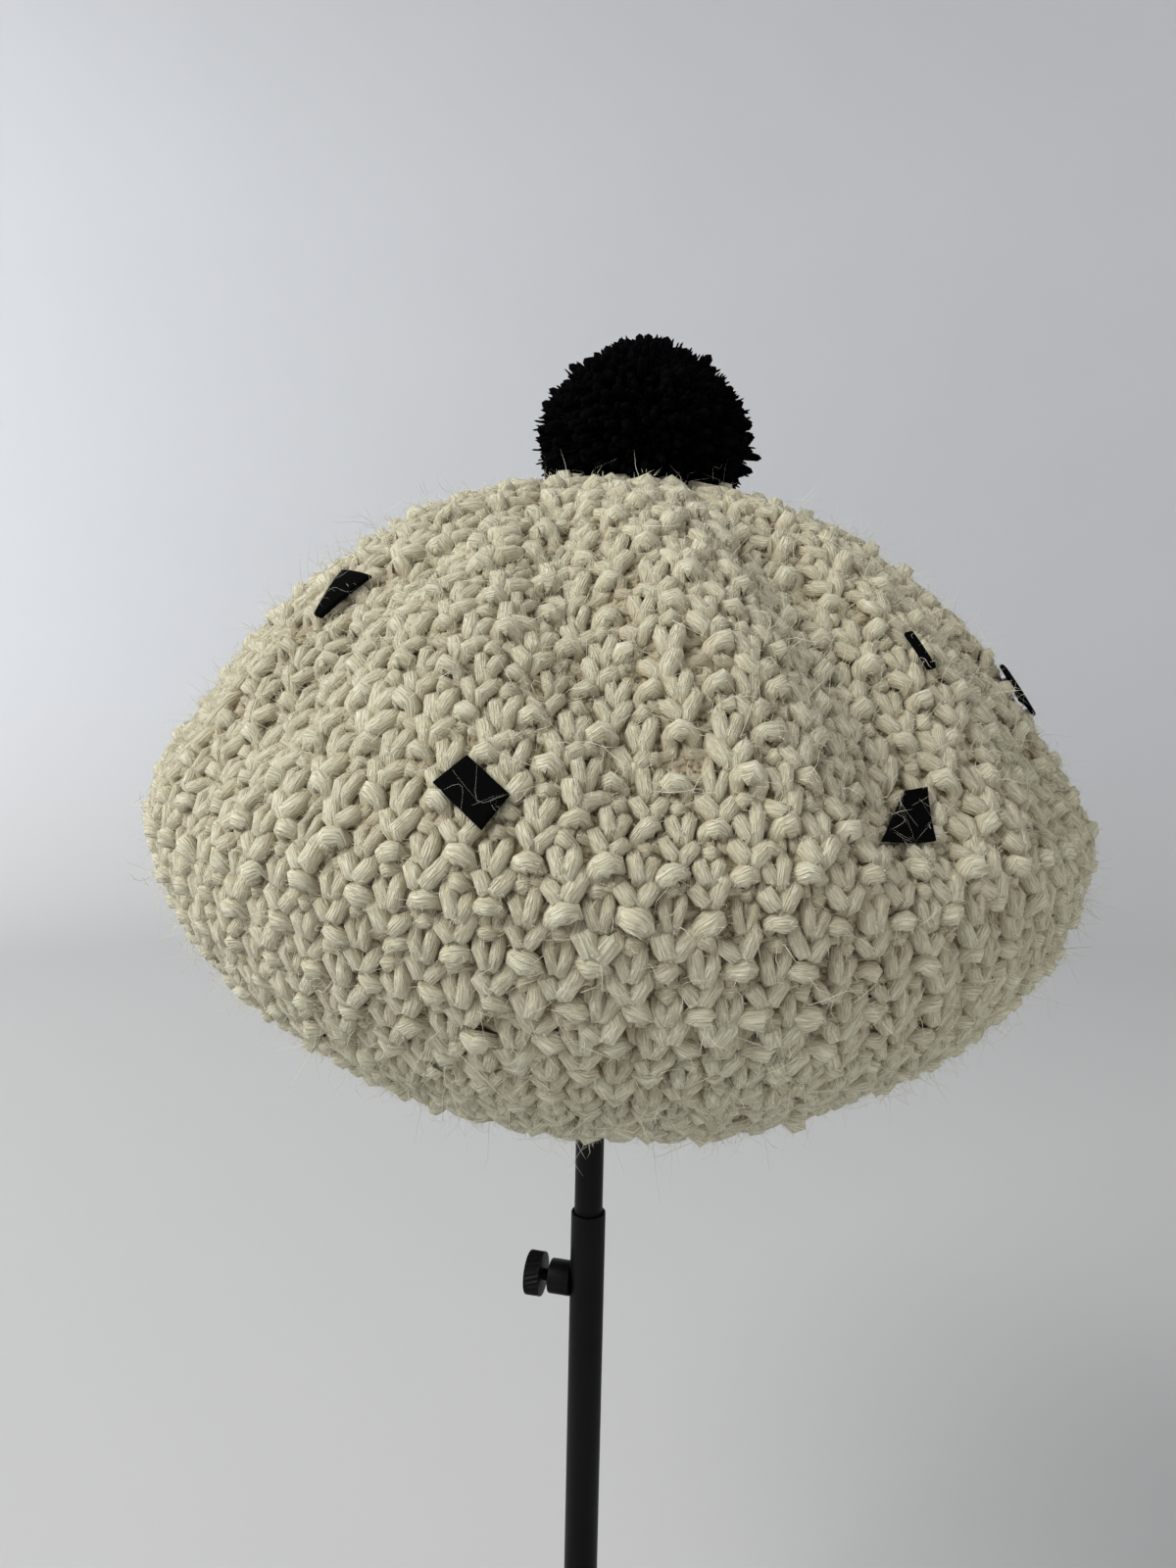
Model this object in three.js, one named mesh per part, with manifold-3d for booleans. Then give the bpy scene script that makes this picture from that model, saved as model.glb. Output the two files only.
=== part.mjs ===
// A chunky knit beret with a wool pompom and felt patches, on a telescoping hat stand.
// Millimetres, +Z up. The origin is the centre of the foot's underside, +X is to the right and
// -Y is the front. Azimuths go round the beret from the front (0) towards the right (90).

import * as THREE from 'three';
import { mergeVertices } from 'three/addons/utils/BufferGeometryUtils.js';
import Module from 'manifold-3d';

const wasm = await Module();
wasm.setup();

// Corners closer than this are one corner
const MERGE_DISTANCE = 1e-4;

// Space left between two pieces that touch
const SEAT_GAP = 0.3;
// Space between the folded inside of the crown and the pad that carries it
const PAD_GAP = 0.6;

// Where the beret sits on the stand
const WIDEST_RING_HEIGHT = 350;
const BERET_SIDE_SHIFT = 6;
const BERET_LEAN_DEGREES = 2.1;

// The knitted crown: two yarns thick, drawn by its outer outline from the opening to the top.
// Heights are measured from the widest ring.
const KNIT_WALL = 7;
const CROWN_SECTIONS = [
  { at: 'edge of the opening', radius: 74, height: -80.5 },
  { at: 'underside', radius: 81, height: -77.5 },
  { at: 'lower bowl', radius: 97.5, height: -65.5 },
  { at: 'middle of the bowl', radius: 114.5, height: -51 },
  { at: 'upper bowl', radius: 130, height: -28 },
  { at: 'widest ring', radius: 135.5, height: 0 },
  { at: 'lower slope', radius: 121.5, height: 25.5 },
  { at: 'middle of the slope', radius: 106, height: 47 },
  { at: 'upper slope', radius: 88, height: 64 },
  { at: 'shoulder', radius: 66, height: 79 },
  { at: 'gathers', radius: 40, height: 88 },
  { at: 'centre of the top', radius: 0, height: 96 },
];

// Soft grooves that run down the crown from the pompom. Widths are half widths in degrees, and
// twist is how far a groove turns, in degrees, over the whole way from the opening to the top.
const CROWN_FOLDS = [
  { azimuth: -70, depth: 4.5, width: 8, twist: 0 },
  { azimuth: -44, depth: 4.5, width: 7, twist: 40 },
  { azimuth: 0, depth: 7.0, width: 8, twist: -65 },
  { azimuth: 29, depth: 10.0, width: 10, twist: -15 },
  { azimuth: 57, depth: 6.0, width: 8, twist: 0 },
  { azimuth: 84, depth: 3.5, width: 8, twist: 0 },
  { azimuth: 110, depth: 4.5, width: 8, twist: 10 },
  { azimuth: 137, depth: 3.5, width: 7, twist: -30 },
  { azimuth: 163, depth: 5.0, width: 8, twist: 20 },
  { azimuth: 190, depth: 3.5, width: 7, twist: 10 },
  { azimuth: 217, depth: 5.0, width: 8, twist: -20 },
  { azimuth: 243, depth: 3.5, width: 7, twist: -10 },
  { azimuth: 267, depth: 4.5, width: 8, twist: 0 },
];
// Share of the way from the opening to the top where the grooves start, are deep, and end
const FOLD_REACH = { start: 0.3, deepFrom: 0.48, deepTo: 0.68, end: 0.92 };

const CROWN_SIDES = 72;
const CROWN_OUTER_RINGS = 21;
const CROWN_INNER_RINGS = 11;
const OPENING_EDGE_RINGS = 3;
const OUTLINE_DIVISIONS = 600;

// The pompom: how far its locks reach from its middle, and how much of that is the core
const POMPOM = { sideShift: 1.5, middleHeight: 105, radius: 34, above: 28, below: 15, coreShare: 0.84 };
const LOCKS = { count: 58, rootShare: 0.5, rootRadius: 6.6, tipRadius: 3.2, sides: 5, lowest: -0.45 };
const CORE_SIDES = 16;

// Felt patches: place on the crown as an azimuth and a share of the way up, then the
// quadrilateral's two widths, its length, how far its lower edge is shifted, and its turn.
const PATCH_THICKNESS = 1.2;
const PATCH_STEPS = 4;
const PATCHES = [
  { name: 'upper_left', azimuth: -47.8, up: 0.609, top: 11.5, bottom: 2, length: 15.5, shift: 0.5, turn: 0 },
  { name: 'centre', azimuth: -14.7, up: 0.437, top: 13.3, bottom: 15.3, length: 9, shift: 0.5, turn: -36 },
  { name: 'right', azimuth: 30.3, up: 0.443, top: 5.4, bottom: 17.2, length: 13.7, shift: -10.5, turn: 0 },
  { name: 'fold', azimuth: 40.4, up: 0.585, top: 1.8, bottom: 1.8, length: 11, shift: 0.5, turn: 0 },
  { name: 'side', azimuth: 72, up: 0.54, top: 11, bottom: 13, length: 13, shift: 0, turn: 20 },
];

// The stand. Heights are from the table, and the boss sits below the tube's top.
const FOOT = { radius: 80, thickness: 6, edge: 2, hubRadius: 12, hubHeight: 16, socketFloor: 4 };
const TUBE = { radius: 5.5, bore: 4.8, top: 213.5 };
const ROD = { radius: 4.5, insertion: 90 };
const BOSS = { radius: 5.4, reach: 12.2, below: 23.8 };
const SCREW = { radius: 2, azimuth: -104 };
const KNOB = { radius: 6.9, length: 5, gap: 2.4, ridges: 26, ridgeDepth: 0.4 };
// The pad's heights are from the beret's widest ring
const PAD = { radius: 44, edgeHeight: 68, hubRadius: 10, hubBottom: 36, neck: 52, boreTop: 66, top: 110 };
const ROUND_SIDES = 24;
// How far a cutting bar runs past the piece that it bores
const CUT_PAST = 1;
const FOOT_SIDES = 40;

const BLACK_PAINT = { color: 0x0e0e10, roughness: 0.5, metalness: 0.2 };
const CREAM_WOOL = { color: 0xd8d0b8, roughness: 0.95, metalness: 0 };
const BLACK_WOOL = { color: 0x050506, roughness: 1, metalness: 0 };
const BLACK_FELT = { color: 0x070708, roughness: 1, metalness: 0 };

const { degToRad, smoothstep, euclideanModulo } = THREE.MathUtils;

// A closed geometry as a solid that can be joined and cut
function solidOf(geometry) {
  const bare = geometry.clone();
  bare.deleteAttribute('normal');
  bare.deleteAttribute('uv');
  const merged = mergeVertices(bare, MERGE_DISTANCE);
  const mesh = new wasm.Mesh({
    numProp: 3,
    vertProperties: new Float32Array(merged.attributes.position.array),
    triVerts: new Uint32Array(merged.index.array),
  });
  return new wasm.Manifold(mesh);
}

// A joined or cut solid as a geometry again
function geometryOf(solid) {
  const mesh = solid.getMesh();
  const geometry = new THREE.BufferGeometry();
  geometry.setAttribute('position', new THREE.BufferAttribute(mesh.vertProperties, 3));
  geometry.setIndex(new THREE.BufferAttribute(mesh.triVerts, 1));
  geometry.computeVertexNormals();
  return geometry;
}

// A turned piece about Z, from [radius, height] pairs that run up its outside
function turned(profile, sides) {
  const points = profile.map(([radius, height]) => new THREE.Vector2(radius, height));
  return new THREE.LatheGeometry(points, sides).rotateX(Math.PI / 2);
}

// A round bar about Z between two heights
function bar(radius, bottom, top, sides = ROUND_SIDES) {
  const geometry = new THREE.CylinderGeometry(radius, radius, top - bottom, sides);
  return geometry.rotateX(Math.PI / 2).translate(0, 0, (top + bottom) / 2);
}

function piece(name, geometry, look) {
  const mesh = new THREE.Mesh(geometry, new THREE.MeshStandardMaterial(look));
  mesh.name = name;
  return mesh;
}

// Depth of all grooves together at a share of the way up and an azimuth in degrees
function foldDepth(share, azimuth) {
  const { start, deepFrom, deepTo, end } = FOLD_REACH;
  const reach = smoothstep(share, start, deepFrom) * (1 - smoothstep(share, deepTo, end));
  let depth = 0;
  for (const fold of CROWN_FOLDS) {
    const line = fold.azimuth + fold.twist * (share - deepFrom);
    const away = euclideanModulo(azimuth - line + 180, 360) - 180;
    depth += fold.depth * Math.exp(-((away / fold.width) ** 2));
  }
  return depth * reach;
}

const crownOutline = new THREE.SplineCurve(
  CROWN_SECTIONS.map(({ radius, height }) => new THREE.Vector2(radius, height)),
);
crownOutline.arcLengthDivisions = OUTLINE_DIVISIONS;
const crownOutlineLength = crownOutline.getLength();

// A point of the crown, sunk from the knitting's outside along the outline's normal
function crownPoint(share, azimuth, sunk) {
  const place = crownOutline.getPointAt(share);
  const along = crownOutline.getTangentAt(share);
  const depth = sunk + foldDepth(share, azimuth);
  const radius = place.x - along.y * depth;
  const height = place.y + along.x * depth;
  const angle = degToRad(azimuth);
  return new THREE.Vector3(radius * Math.sin(angle), -radius * Math.cos(angle), height);
}

function crownRing(share, sunk) {
  const step = 360 / CROWN_SIDES;
  return Array.from({ length: CROWN_SIDES }, (_, side) => crownPoint(share, step * side, sunk));
}

function crownTop(sunk) {
  return [new THREE.Vector3(0, 0, crownOutline.getPointAt(1).y - sunk)];
}

// Rings from the opening's edge to just below the top, as deep as sunk
function crownWall(rings, sunk) {
  return Array.from({ length: rings }, (_, ring) => crownRing(ring / rings, sunk));
}

// Closes a stack of rings whose first and last are single points
function closedRings(rings) {
  const starts = [];
  const positions = [];
  for (const ring of rings) {
    starts.push(positions.length / 3);
    for (const point of ring) positions.push(point.x, point.y, point.z);
  }
  const triangles = [];
  for (let level = 0; level + 1 < rings.length; level += 1) {
    const lower = rings[level].length;
    const upper = rings[level + 1].length;
    for (let side = 0; side < CROWN_SIDES; side += 1) {
      const next = (side + 1) % CROWN_SIDES;
      const a = starts[level] + (side % lower);
      const b = starts[level] + (next % lower);
      const c = starts[level + 1] + (next % upper);
      const d = starts[level + 1] + (side % upper);
      if (lower > 1) triangles.push(a, b, c);
      if (upper > 1) triangles.push(a, c, d);
    }
  }
  const geometry = new THREE.BufferGeometry();
  geometry.setAttribute('position', new THREE.Float32BufferAttribute(positions, 3));
  geometry.setIndex(triangles);
  geometry.computeVertexNormals();
  return geometry;
}

// The knitted wall, from the top of the hollow down round the opening's edge and up the outside
function crownGeometry() {
  const inside = crownWall(CROWN_INNER_RINGS, KNIT_WALL).reverse();
  const edge = Array.from({ length: OPENING_EDGE_RINGS }, (_, ring) => {
    const turn = (Math.PI * (ring + 1)) / (OPENING_EDGE_RINGS + 1);
    const along = crownOutline.getTangentAt(0);
    const sunk = (KNIT_WALL / 2) * (1 + Math.cos(turn));
    const past = (KNIT_WALL / 2) * Math.sin(turn);
    const shifted = crownRing(0, sunk);
    shifted.forEach((point) => {
      const inward = new THREE.Vector2(point.x, point.y).normalize().multiplyScalar(along.x * past);
      point.x -= inward.x;
      point.y -= inward.y;
      point.z -= along.y * past;
    });
    return shifted;
  });
  const outside = crownWall(CROWN_OUTER_RINGS, 0);
  return closedRings([crownTop(KNIT_WALL), ...inside, ...edge, ...outside, crownTop(0)]);
}

// Everything inside the crown's outside, or inside its hollow, as a solid to cut with
function crownFilling(rings, sunk) {
  const wall = crownWall(rings, sunk);
  const floor = [new THREE.Vector3(0, 0, wall[0][0].z)];
  return closedRings([floor, ...wall, crownTop(sunk)]);
}

// Directions spread evenly over a ball, from straight up down to the lowest one
function evenDirections(count, lowest) {
  const golden = Math.PI * (3 - Math.sqrt(5));
  return Array.from({ length: count }, (_, index) => {
    const rise = 1 - ((1 - lowest) * (index + 0.5)) / count;
    const flat = Math.sqrt(1 - rise * rise);
    return new THREE.Vector3(flat * Math.cos(golden * index), flat * Math.sin(golden * index), rise);
  });
}

// Short locks round a core, with the underside shaped to the crown
function pompomGeometry() {
  const reach = (direction) => {
    const vertical = direction.z > 0 ? POMPOM.above : POMPOM.below;
    return direction.clone().multiply(new THREE.Vector3(POMPOM.radius, POMPOM.radius, vertical));
  };
  const core = new THREE.SphereGeometry(1, CORE_SIDES, CORE_SIDES / 2).rotateX(Math.PI / 2);
  const corners = core.attributes.position;
  for (let index = 0; index < corners.count; index += 1) {
    const out = reach(new THREE.Vector3().fromBufferAttribute(corners, index));
    corners.setXYZ(index, out.x * POMPOM.coreShare, out.y * POMPOM.coreShare, out.z * POMPOM.coreShare);
  }
  let pompom = solidOf(core);
  for (const direction of evenDirections(LOCKS.count, LOCKS.lowest)) {
    const tip = reach(direction);
    const root = tip.clone().multiplyScalar(LOCKS.rootShare);
    const length = tip.distanceTo(root);
    const lock = new THREE.CylinderGeometry(LOCKS.tipRadius, LOCKS.rootRadius, length, LOCKS.sides);
    lock.translate(0, length / 2, 0);
    const aim = tip.clone().sub(root).normalize();
    lock.applyQuaternion(new THREE.Quaternion().setFromUnitVectors(new THREE.Vector3(0, 1, 0), aim));
    lock.translate(root.x, root.y, root.z);
    pompom = pompom.add(solidOf(lock));
  }
  pompom = pompom.translate([POMPOM.sideShift, 0, POMPOM.middleHeight]);
  return geometryOf(pompom.subtract(crownSeat));
}

// One felt quadrilateral laid on the knitting
function patchGeometry(patch) {
  const turn = degToRad(patch.turn);
  const row = (index, lift) => Array.from({ length: PATCH_STEPS + 1 }, (_, step) => {
    const down = index / PATCH_STEPS;
    const width = THREE.MathUtils.lerp(patch.top, patch.bottom, down);
    const across = width * (step / PATCH_STEPS - 0.5) + patch.shift * (down - 0.5);
    const rise = patch.length * (0.5 - down);
    const share = patch.up + (rise * Math.cos(turn) + across * Math.sin(turn)) / crownOutlineLength;
    const sideways = across * Math.cos(turn) - rise * Math.sin(turn);
    const radius = crownOutline.getPointAt(share).x;
    return crownPoint(share, patch.azimuth + THREE.MathUtils.radToDeg(sideways / radius), -lift);
  });
  const sheet = (lift) => Array.from({ length: PATCH_STEPS + 1 }, (_, index) => row(index, lift)).flat();
  const corners = [...sheet(SEAT_GAP + PATCH_THICKNESS), ...sheet(-PATCH_THICKNESS)];
  const across = PATCH_STEPS + 1;
  const layer = across * across;
  const triangles = [];
  const quad = (a, b, c, d) => triangles.push(a, b, c, a, c, d);
  for (let i = 0; i < PATCH_STEPS; i += 1) {
    for (let j = 0; j < PATCH_STEPS; j += 1) {
      const a = i * across + j;
      quad(a, a + across, a + across + 1, a + 1);
      quad(layer + a, layer + a + 1, layer + a + across + 1, layer + a + across);
    }
    const left = i * across;
    const right = left + PATCH_STEPS;
    const top = i;
    const bottom = PATCH_STEPS * across + i;
    quad(left, layer + left, layer + left + across, left + across);
    quad(right, right + across, layer + right + across, layer + right);
    quad(top, top + 1, layer + top + 1, layer + top);
    quad(bottom, layer + bottom, layer + bottom + 1, bottom + 1);
  }
  const slab = new THREE.BufferGeometry().setFromPoints(corners);
  slab.setIndex(triangles);
  return geometryOf(solidOf(slab).subtract(crownSeat));
}

// The round foot with a socket for the tube
function footGeometry() {
  const { radius, thickness, edge, hubRadius, hubHeight, socketFloor } = FOOT;
  const socket = TUBE.radius + SEAT_GAP;
  return turned([
    [0, 0],
    [radius - edge, 0],
    [radius, edge],
    [radius, thickness - edge],
    [radius - edge, thickness],
    [hubRadius + edge, thickness],
    [hubRadius, thickness + edge],
    [hubRadius, hubHeight - edge],
    [hubRadius - edge, hubHeight],
    [socket, hubHeight],
    [socket, socketFloor],
    [0, socketFloor],
  ], FOOT_SIDES);
}

// Turns a piece made along +Z so that it points out of the tube towards the screw's azimuth
function alongScrew(geometry) {
  return geometry.rotateY(Math.PI / 2).rotateZ(degToRad(SCREW.azimuth - 90));
}

// The lower tube with the soldered boss, bored for the rod and the screw
function tubeGeometry() {
  const bottom = FOOT.socketFloor + SEAT_GAP;
  const screwHeight = TUBE.top - BOSS.below;
  const boss = alongScrew(bar(BOSS.radius, 0, BOSS.reach)).translate(0, 0, screwHeight);
  const hole = alongScrew(bar(SCREW.radius + SEAT_GAP, 0, BOSS.reach + CUT_PAST));
  hole.translate(0, 0, screwHeight);
  const tube = solidOf(bar(TUBE.radius, bottom, TUBE.top));
  const bore = solidOf(bar(TUBE.bore, bottom - CUT_PAST, TUBE.top + CUT_PAST));
  return geometryOf(tube.add(solidOf(boss)).subtract(bore).subtract(solidOf(hole)));
}

// A stem that stops short of the rod, under a knob with straight ridges
function screwGeometry() {
  const knobStart = BOSS.reach + KNOB.gap;
  const stemEnd = knobStart + KNOB.length / 2;
  const stem = solidOf(bar(SCREW.radius, ROD.radius + SEAT_GAP, stemEnd, ROUND_SIDES / 2));
  const rim = Array.from({ length: 2 * KNOB.ridges }, (_, index) => {
    const angle = (Math.PI * index) / KNOB.ridges;
    const out = index % 2 ? KNOB.radius : KNOB.radius - KNOB.ridgeDepth;
    return new THREE.Vector2(out * Math.cos(angle), out * Math.sin(angle));
  });
  const knob = new THREE.ExtrudeGeometry(new THREE.Shape(rim), { depth: KNOB.length, bevelEnabled: false });
  knob.translate(0, 0, knobStart);
  return alongScrew(geometryOf(stem.add(solidOf(knob))));
}

// The pad that fills the top of the hollow, on a hub for the rod
function padGeometry(hollow) {
  const base = WIDEST_RING_HEIGHT;
  const bore = ROD.radius + SEAT_GAP;
  const pad = turned([
    [0, base + PAD.boreTop],
    [bore, base + PAD.boreTop],
    [bore, base + PAD.hubBottom],
    [PAD.hubRadius, base + PAD.hubBottom],
    [PAD.hubRadius, base + PAD.neck],
    [PAD.radius, base + PAD.edgeHeight],
    [PAD.radius, base + PAD.top],
    [0, base + PAD.top],
  ], FOOT_SIDES);
  return geometryOf(solidOf(pad).intersect(hollow));
}

const crownSeat = solidOf(crownFilling(CROWN_OUTER_RINGS, -SEAT_GAP));

const beret = new THREE.Group();
beret.position.set(BERET_SIDE_SHIFT, 0, WIDEST_RING_HEIGHT);
beret.rotation.y = degToRad(BERET_LEAN_DEGREES);
beret.updateMatrix();
beret.add(piece('crown', crownGeometry(), CREAM_WOOL));
beret.add(piece('pompom', pompomGeometry(), BLACK_WOOL));
for (const patch of PATCHES) beret.add(piece(`patch_${patch.name}`, patchGeometry(patch), BLACK_FELT));

const hollow = crownFilling(CROWN_INNER_RINGS, KNIT_WALL + PAD_GAP).applyMatrix4(beret.matrix);
const rodBottom = TUBE.top - ROD.insertion;
const rodTop = WIDEST_RING_HEIGHT + PAD.boreTop - SEAT_GAP;

const stand = new THREE.Group();
stand.add(piece('base_plate', footGeometry(), BLACK_PAINT));
stand.add(piece('outer_tube', tubeGeometry(), BLACK_PAINT));
stand.add(piece('inner_rod', bar(ROD.radius, rodBottom, rodTop), BLACK_PAINT));
stand.add(piece('stand_head', padGeometry(solidOf(hollow)), BLACK_PAINT));
const screw = piece('thumb_screw', screwGeometry(), BLACK_PAINT);
screw.position.z = TUBE.top - BOSS.below;
stand.add(screw);

const model = new THREE.Group();
model.add(stand, beret);

export default model;
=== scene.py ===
# %% [markdown]
# # A knit beret on a hat stand
# The solid model gives every piece its size and place, and this lesson dresses it: yarn is worked
# into stitches, fuzz grows on the yarn, a pompom is tufted, felt is laid on, and the stand is
# turned. Lengths are written in millimetres and become metres once, when a mesh is made.

# %% Load the solid model
import math

import bpy
import numpy as np
from mathutils import Matrix


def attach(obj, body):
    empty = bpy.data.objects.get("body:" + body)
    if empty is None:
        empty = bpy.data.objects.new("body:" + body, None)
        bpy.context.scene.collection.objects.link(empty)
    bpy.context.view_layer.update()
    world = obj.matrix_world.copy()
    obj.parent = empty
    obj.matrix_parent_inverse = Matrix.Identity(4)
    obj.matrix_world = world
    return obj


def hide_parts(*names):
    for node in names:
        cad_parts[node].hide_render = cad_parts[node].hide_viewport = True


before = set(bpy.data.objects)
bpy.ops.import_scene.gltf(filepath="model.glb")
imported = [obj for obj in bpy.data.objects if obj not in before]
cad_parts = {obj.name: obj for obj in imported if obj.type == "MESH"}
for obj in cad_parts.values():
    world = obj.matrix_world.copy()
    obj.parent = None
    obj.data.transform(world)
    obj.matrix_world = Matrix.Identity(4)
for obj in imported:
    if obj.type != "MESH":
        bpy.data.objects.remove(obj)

MM = 0.001
TAU = 2 * np.pi
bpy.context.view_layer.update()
rng = np.random.default_rng(20)

# %% [markdown]
# Every new piece is a grid of points worked out with numpy: closed rings that follow each other
# along a path or up a profile. Modelling by hand would give the same faces, but thousands of
# stitches have to be counted, not drawn. The helpers number the faces of such a grid and hand
# the arrays to Blender in one go.

# %% From arrays to a piece
def ring_quads(rings, sides, joined):
    """Quads between neighbouring rings of a grid; joined also links the last ring to the first."""
    ring = np.arange(rings if joined else rings - 1)[:, None] * sides
    beyond = (ring + sides) % (rings * sides)
    side = np.arange(sides)
    after = (side + 1) % sides
    corners = np.broadcast_arrays(ring + side, ring + after, beyond + after, beyond + side)
    return np.stack(corners, -1).reshape(-1, 4)


def capped_faces(rings, sides):
    """Triangles of a grid of rings that closes on a pole at each end; the poles come last."""
    quads = ring_quads(rings, sides, joined=False)
    side = np.arange(sides)
    after = (side + 1) % sides
    last_ring = (rings - 1) * sides
    pole = np.full(sides, rings * sides)
    start = np.stack([pole, after, side], -1)
    end = np.stack([pole + 1, last_ring + side, last_ring + after], -1)
    return np.vstack([quads[:, [0, 1, 2]], quads[:, [0, 2, 3]], start, end])


def add_piece(name, points, faces, finish, slot, nodes):
    """A smooth mesh from points in millimetres and an array of faces, riding on the part."""
    mesh = bpy.data.meshes.new(name)
    mesh.vertices.add(len(points))
    mesh.vertices.foreach_set("co", (points * MM).astype(np.float32).ravel())
    mesh.loops.add(faces.size)
    mesh.loops.foreach_set("vertex_index", faces.astype(np.int32).ravel())
    mesh.polygons.add(len(faces))
    starts = np.arange(0, faces.size, faces.shape[1], dtype=np.int32)
    mesh.polygons.foreach_set("loop_start", starts)
    mesh.update(calc_edges=True)
    mesh.shade_smooth()
    mesh.materials.append(finish)
    piece = bpy.data.objects.new(name, mesh)
    bpy.context.scene.collection.objects.link(piece)
    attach(piece, "root")
    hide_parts(*nodes)
    print(name, "has", len(faces) * (faces.shape[1] - 2), "triangles")
    return piece


def unit(vectors):
    """The vectors at length one."""
    return vectors / np.linalg.norm(vectors, axis=-1, keepdims=True)


# %% [markdown]
# A finish is a node material. Nodes can be placed by hand in the shader editor; written down, sums
# on sockets read best as plain expressions. A Wire is an output socket whose operators add Math
# nodes, and Finish.node adds any other node from its type, settings and inputs.

# %% Wires and finishes
class Wire:
    """A shader value: a sum on wires adds the Math nodes that work it out."""

    def __init__(self, finish, socket):
        self.finish = finish
        self.socket = socket

    def maths(self, operation, first, second=0.0):
        return self.finish.node("Math", {"operation": operation}, {0: first, 1: second})

    def __add__(self, other):
        return self.maths("ADD", self, other)

    def __sub__(self, other):
        return self.maths("SUBTRACT", self, other)

    def __rsub__(self, other):
        return self.maths("SUBTRACT", other, self)

    def __mul__(self, other):
        return self.maths("MULTIPLY", self, other)

    __radd__ = __add__
    __rmul__ = __mul__


class Finish:
    """A material with a Principled shader and the nodes that feed it."""

    def __init__(self, name, fixed):
        self.material = bpy.data.materials.new(name)
        self.material.use_nodes = True
        self.tree = self.material.node_tree
        self.shader = self.tree.nodes["Principled BSDF"]
        self.feed(self.shader, fixed)

    def feed(self, node, inputs):
        """Sets each input to a value, or links it where a wire is given."""
        for key, value in inputs.items():
            if isinstance(value, Wire):
                self.tree.links.new(value.socket, node.inputs[key])
            else:
                node.inputs[key].default_value = value

    def node(self, kind, settings, inputs, output=0):
        """Adds a node: its settings first, then its inputs; returns one output as a wire."""
        node = self.tree.nodes.new("ShaderNode" + kind)
        for key, value in settings.items():
            setattr(node, key, value)
        self.feed(node, inputs)
        return Wire(self, node.outputs[output])

    def noise(self, where, scale, detail=3.0, dimensions="3D"):
        """Cloudy noise from 0 to 1 at places given by a vector."""
        inputs = {"Vector": where, "Scale": scale, "Detail": detail}
        return self.node("TexNoise", {"noise_dimensions": dimensions}, inputs)

    def blend(self, share, first, second):
        """A colour between two others."""
        inputs = {0: share, 6: first, 7: second}
        return self.node("Mix", {"data_type": "RGBA"}, inputs, output=2)

    def bump(self, height, strength, depth):
        """The surface normal tipped by a height."""
        return self.node("Bump", {}, {"Strength": strength, "Distance": depth * MM, "Height": height})

    def object_place(self):
        """Object coordinates."""
        return self.node("TexCoord", {}, {}, output="Object")


# %% [markdown]
# The wool is a soft, barely twisted roving in undyed cream. Its look comes from fine fibres that
# run along the yarn, from painted shade, darker and yellower, deep between the stitches, and from fuzz
# that catches light at grazing angles. An image of wool would repeat visibly, so noise is stretched
# along the yarn's own map: millimetres along it, and once round it. Sheen stands for the finest fuzz.

# %% The wool's finish
CREAM = (0.525, 0.482, 0.325, 1)
PALE = (0.805, 0.782, 0.615, 1)
# The third colour is painted shade, given to wool that lies deep between the stitches.
PAINTED_SHADE_WOOL = (0.5, 0.425, 0.28, 1)
FUZZY = {"Sheen Weight": 0.2, "Sheen Roughness": 0.6, "Sheen Tint": (1, 0.97, 0.88, 1)}


def cream_yarn():
    """Cream yarn: fibres along it, pale wool mixed by noise, and painted shade mixed in by depth."""
    wool = Finish("cream_yarn", {"Specular IOR Level": 0.15, **FUZZY})
    yarn_map = wool.node("UVMap", {"uv_map": "yarn"}, {})
    lie = {"Vector": yarn_map, "Rotation": (0, 0, 0.3), "Scale": (0.4, 34.0, 1)}
    fibre = wool.noise(wool.node("Mapping", {}, lie), 1.0, 2.0, "2D")
    cloud = wool.noise(wool.object_place(), 140.0)
    depth = wool.node("Attribute", {"attribute_name": "depth"}, {}, output="Fac")
    colour = wool.blend(fibre * 3.0 + cloud * 0.9 - 1.45, CREAM, PALE)
    # Painted shade: the deeper a place lies between the stitches, the darker and yellower it is painted.
    colour = wool.blend(depth * 1.0 + cloud * 0.3 - 0.25, colour, PAINTED_SHADE_WOOL)
    rough = 0.88 + fibre * 0.1
    normal = wool.bump(fibre + cloud * 0.4, 1.0, 0.7)
    wool.feed(wool.shader, {"Base Color": colour, "Roughness": rough, "Normal": normal})
    return wool.material


def cream_fuzz():
    """Loose fibres: pale wool with a slow drift in tone."""
    wool = Finish("cream_fuzz", {"Roughness": 0.9, "Specular IOR Level": 0.2, **FUZZY})
    drift = wool.noise(wool.object_place(), 300.0)
    wool.feed(wool.shader, {"Base Color": wool.blend(drift, PALE, (0.82, 0.8, 0.65, 1))})
    return wool.material


yarn_finish = cream_yarn()
fuzz_finish = cream_fuzz()
print("wool finishes:", yarn_finish.name, fuzz_finish.name)

# %% [markdown]
# The beret's form is a bowl below and a slope above, turned about its middle, with soft grooves
# running down from the gathered top. It could be sculpted, but the solid crown already follows a
# short table of sections, and the same table here keeps the knitting in the solid's place. A smooth
# line runs through the sections, and a point on the crown has an arc length up that line, an
# azimuth round it from the front, and a depth below the outer face.

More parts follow.
